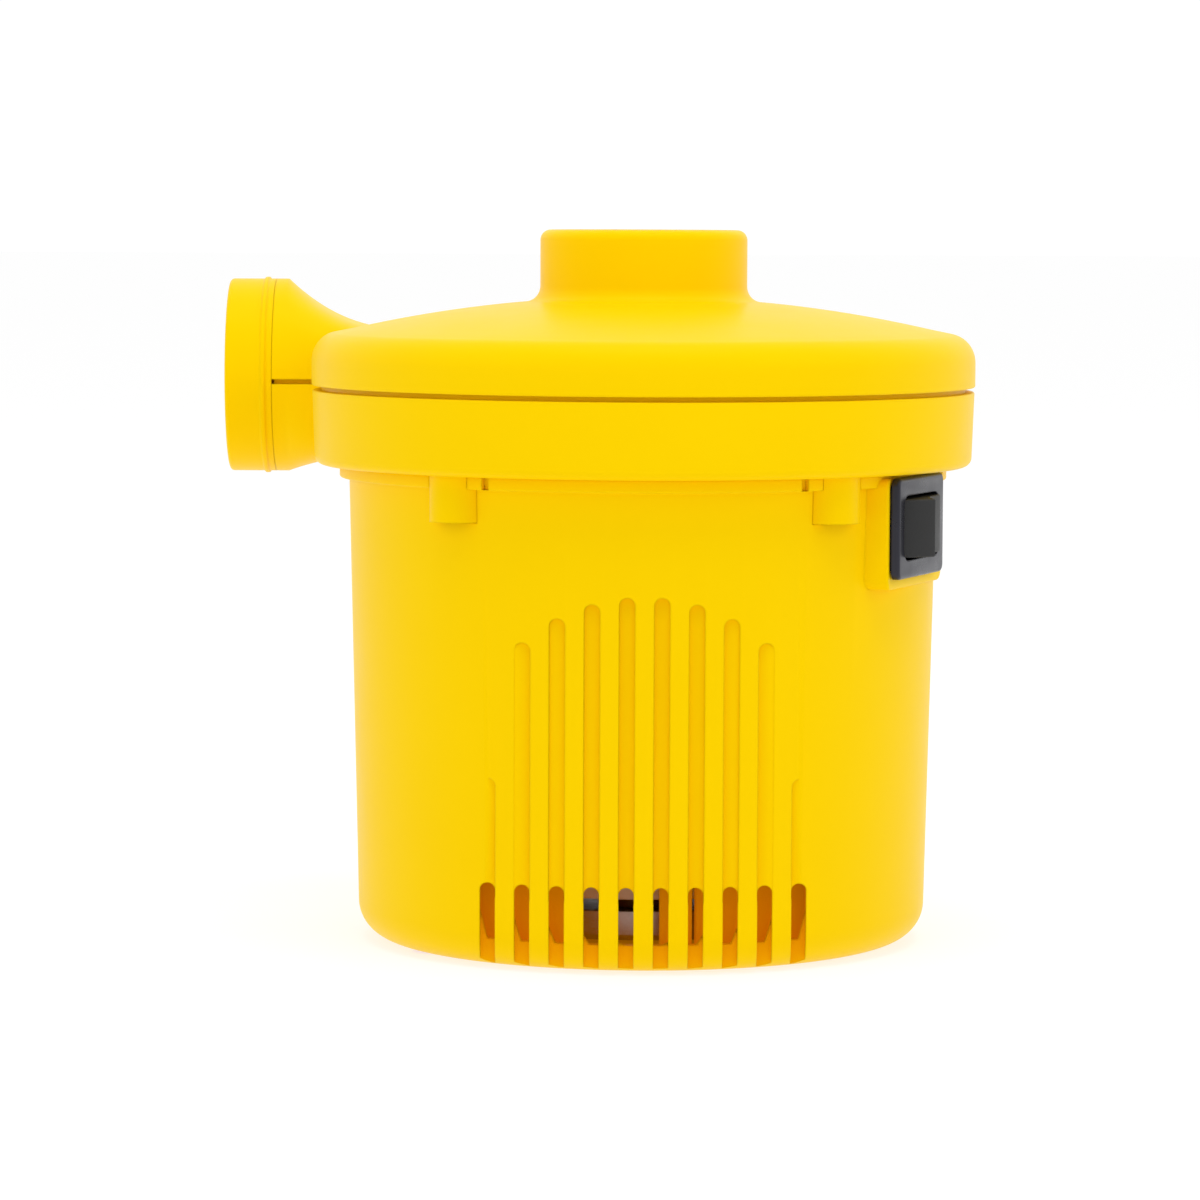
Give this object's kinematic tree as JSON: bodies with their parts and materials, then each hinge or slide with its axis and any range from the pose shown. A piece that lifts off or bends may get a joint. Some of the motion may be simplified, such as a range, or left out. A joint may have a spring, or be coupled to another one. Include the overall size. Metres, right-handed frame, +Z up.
{
  "type": "electric air mattress pump",
  "caption": "Upright mains air pump: round fan drum with a top inlet collar and a tangential side outlet, over a tapered motor body with vent slots and a rocker switch.",
  "frame": {"origin": "centre of the flat underside, on the motor's axis", "axes": "+Z up along the motor's axis, -Y towards the vents and the switch side, -X towards the outlet"},
  "size_m": [0.1111, 0.097, 0.1034],
  "materials": {
    "yellow_plastic": "semi-gloss moulded",
    "black_plastic": "semi-gloss moulded",
    "rocker_plastic": "fine satin texture",
    "white_nylon": "natural nylon",
    "rubber": "matte",
    "steel": "zinc plated",
    "laminations": "stacked sheet, varnished",
    "copper": "enamelled copper",
    "brass": "drawn",
    "bronze": "sintered",
    "carbon": "pressed graphite",
    "wire_red": "insulation",
    "wire_blue": "insulation",
    "wire_black": "insulation"
  },
  "bodies": {
    "housing": {"body_shell": "yellow_plastic", "fan_housing": "yellow_plastic", "top_cover": "yellow_plastic", "inlet_grille": "yellow_plastic", "outlet_nozzle": "yellow_plastic", "switch_housing": "black_plastic", "brush_carrier": "white_nylon", "cord_gland": "rubber", "motor_bracket": "steel", "motor_end_bell": "steel", "brush_spring_left": "steel", "brush_spring_right": "steel", "motor_bolt_left": "steel", "motor_bolt_right": "steel", "motor_screw_front": "steel", "motor_screw_rear": "steel", "cover_screw_1": "steel", "cover_screw_2": "steel", "cover_screw_3": "steel", "cover_screw_4": "steel", "body_screw_1": "steel", "body_screw_2": "steel", "body_screw_3": "steel", "body_screw_4": "steel", "stator_core": "laminations", "field_coil_front": "copper", "field_coil_rear": "copper", "brush_holder_left": "brass", "brush_holder_right": "brass", "switch_terminal_near": "brass", "switch_terminal_far": "brass", "bearing_lower": "bronze", "bearing_upper": "bronze", "carbon_brush_left": "carbon", "carbon_brush_right": "carbon", "lead_live": "wire_red", "lead_neutral": "wire_blue", "lead_switched": "wire_black"},
    "rotor": {"motor_shaft": "steel", "armature_core": "laminations", "armature_winding_lower": "copper", "armature_winding_upper": "copper", "commutator": "copper", "impeller": "white_nylon", "impeller_washer": "steel", "impeller_nut": "brass"},
    "rocker": {"switch_rocker": "rocker_plastic"}
  },
  "joints": [
    {"name": "rotor_spin", "type": "hinge", "parent": "housing", "child": "rotor", "pos_m": [0, 0, 0.04], "axis": [0, 0, 1], "continuous": true},
    {"name": "rocker_tilt", "type": "hinge", "parent": "housing", "child": "rocker", "pos_m": [0.03563, -0.01935, 0.06165], "axis": [0, 0, -1], "range_deg": [0, 28]}
  ]
}
